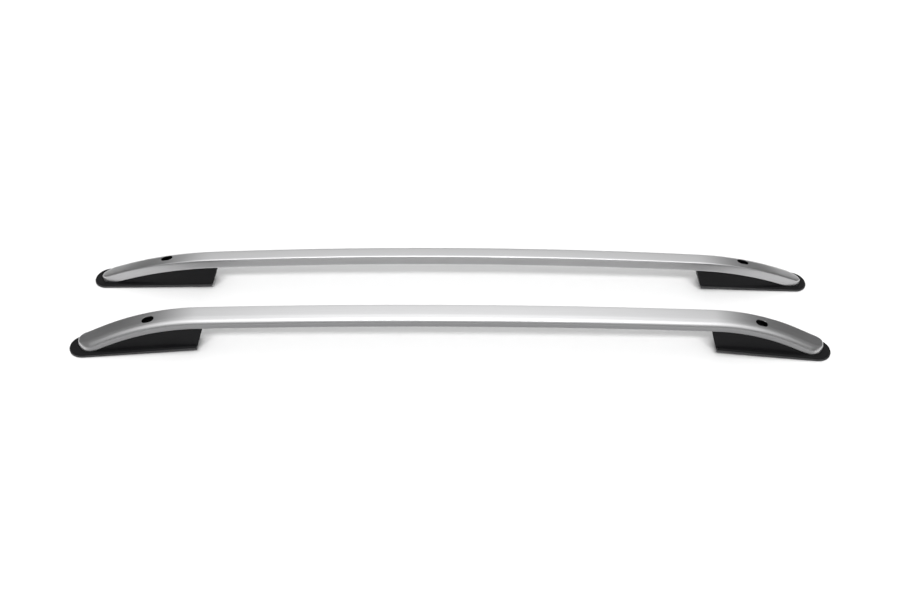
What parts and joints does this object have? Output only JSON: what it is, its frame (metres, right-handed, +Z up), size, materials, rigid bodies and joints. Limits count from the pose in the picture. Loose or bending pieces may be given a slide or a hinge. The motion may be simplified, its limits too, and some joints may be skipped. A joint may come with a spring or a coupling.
{
  "type": "roof side rail pair",
  "caption": "Arched satin aluminium roof side rails on black moulded feet with rubber gaskets, with access slots above hidden clamp bolts and brackets.",
  "frame": {"origin": "on the floor, midway between the two rails and between their front and rear ends", "axes": "+X from the front ends to the rear ends, +Y from the left rail to the right rail, +Z up"},
  "size_m": [1.6296, 0.2996, 0.0985],
  "materials": {
    "rail_aluminium": "satin anodised",
    "foot_plastic": "fine moulded grain",
    "gasket_rubber": "matte",
    "zinc_steel": "zinc plated"
  },
  "bodies": {
    "root": {"left_rail": "rail_aluminium", "left_front_foot": "foot_plastic", "left_front_gasket": "gasket_rubber", "left_front_bracket": "zinc_steel", "left_front_clamp_bolt": "zinc_steel", "left_front_clamp_washer": "zinc_steel", "left_front_clamp_nut": "zinc_steel", "left_front_foot_screws": "zinc_steel", "left_rear_foot": "foot_plastic", "left_rear_gasket": "gasket_rubber", "left_rear_bracket": "zinc_steel", "left_rear_clamp_bolt": "zinc_steel", "left_rear_clamp_washer": "zinc_steel", "left_rear_clamp_nut": "zinc_steel", "left_rear_foot_screws": "zinc_steel", "right_rail": "rail_aluminium", "right_front_foot": "foot_plastic", "right_front_gasket": "gasket_rubber", "right_front_bracket": "zinc_steel", "right_front_clamp_bolt": "zinc_steel", "right_front_clamp_washer": "zinc_steel", "right_front_clamp_nut": "zinc_steel", "right_front_foot_screws": "zinc_steel", "right_rear_foot": "foot_plastic", "right_rear_gasket": "gasket_rubber", "right_rear_bracket": "zinc_steel", "right_rear_clamp_bolt": "zinc_steel", "right_rear_clamp_washer": "zinc_steel", "right_rear_clamp_nut": "zinc_steel", "right_rear_foot_screws": "zinc_steel"}
  },
  "joints": []
}
